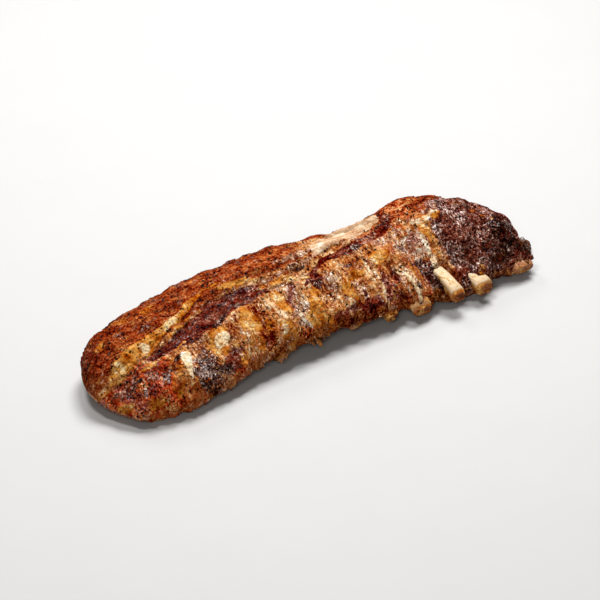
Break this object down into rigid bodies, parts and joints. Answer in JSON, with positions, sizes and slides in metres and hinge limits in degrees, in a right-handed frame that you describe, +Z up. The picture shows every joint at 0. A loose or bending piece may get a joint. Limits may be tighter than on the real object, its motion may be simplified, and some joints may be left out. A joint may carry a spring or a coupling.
{
  "type": "rack of ribs",
  "caption": "Roasted rack of loin ribs lying meat side up: an arched slab of glazed meat with a fat seam along it and the sawn tips of its rib bones at one edge.",
  "frame": {"origin": "centre of the bounding box's bottom face, on the surface the rack lies on", "axes": "+X along the rack from the narrow end to the first rib, +Y from the sawn rib tips to the loin side, +Z up"},
  "size_m": [0.372, 0.1103, 0.0563],
  "materials": {
    "roasted_meat": "glazed roasted crust, red-brown with golden fat",
    "bone": "roasted bone, cream with browned sawn ends"
  },
  "bodies": {
    "root": {"meat": "roasted_meat", "rib_bone_01": "bone", "rib_bone_02": "bone", "rib_bone_03": "bone", "rib_bone_04": "bone", "rib_bone_05": "bone", "rib_bone_06": "bone", "rib_bone_07": "bone", "rib_bone_08": "bone", "rib_bone_09": "bone", "rib_bone_10": "bone", "rib_bone_11": "bone", "rib_bone_12": "bone"}
  },
  "joints": []
}
